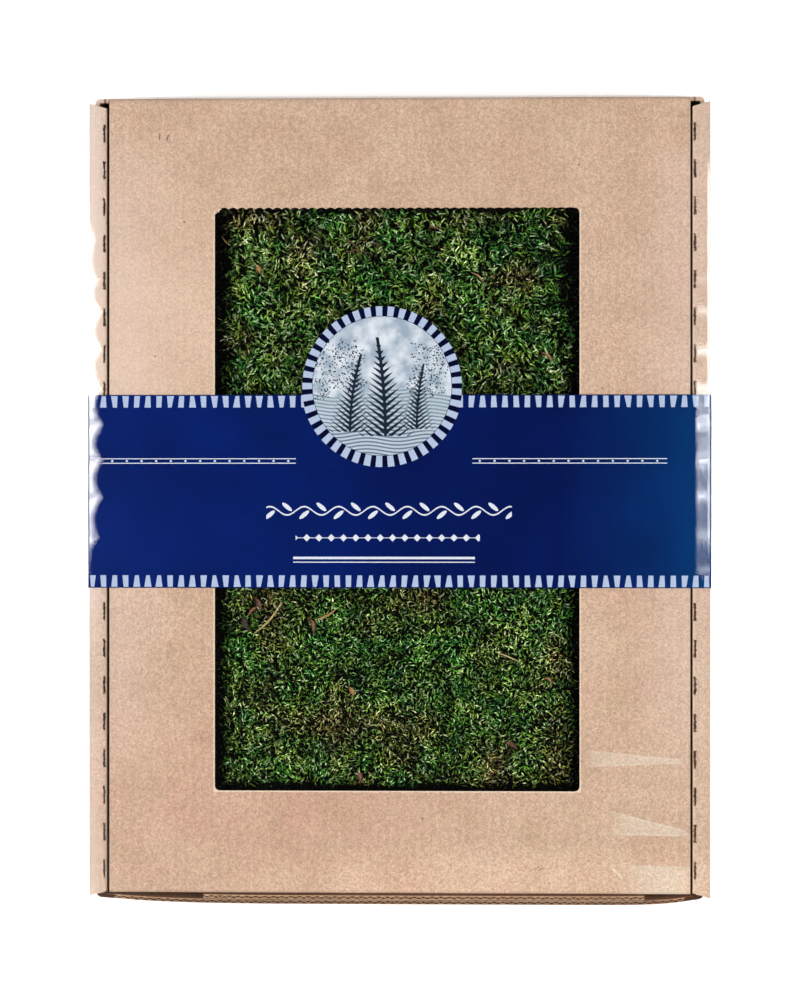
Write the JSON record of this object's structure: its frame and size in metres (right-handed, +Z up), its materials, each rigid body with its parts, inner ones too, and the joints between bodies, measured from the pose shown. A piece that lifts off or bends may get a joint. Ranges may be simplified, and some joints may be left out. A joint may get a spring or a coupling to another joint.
{
  "type": "boxed sheet moss",
  "caption": "Preserved sheet moss in a flat windowed board mailer, with a printed paper band round it and clear shrink film over all.",
  "frame": {"origin": "on the surface that the pack lies on, under the middle of its outline", "axes": "+Z up, out of the window; +Y along the long side, towards the hinged edge of the lid; +X to the right as seen from above with the hinged edge away"},
  "size_m": [0.2552, 0.3296, 0.0622],
  "materials": {
    "moss": "matt, shaggy preserved moss shoots, mid to deep green with olive and brown patches",
    "kraft_board": "unprinted brown kraft liner on E-flute corrugated board, matt, with raw cut edges",
    "printed_paper": "smooth navy printed paper with a toothed border, satin",
    "clear_film": "clear glossy shrink film with fine wrinkles"
  },
  "bodies": {
    "root": {"sheet_moss": "moss", "tray": "kraft_board", "lid": "kraft_board", "paper_band": "printed_paper", "film_wrap": "clear_film"}
  },
  "joints": []
}
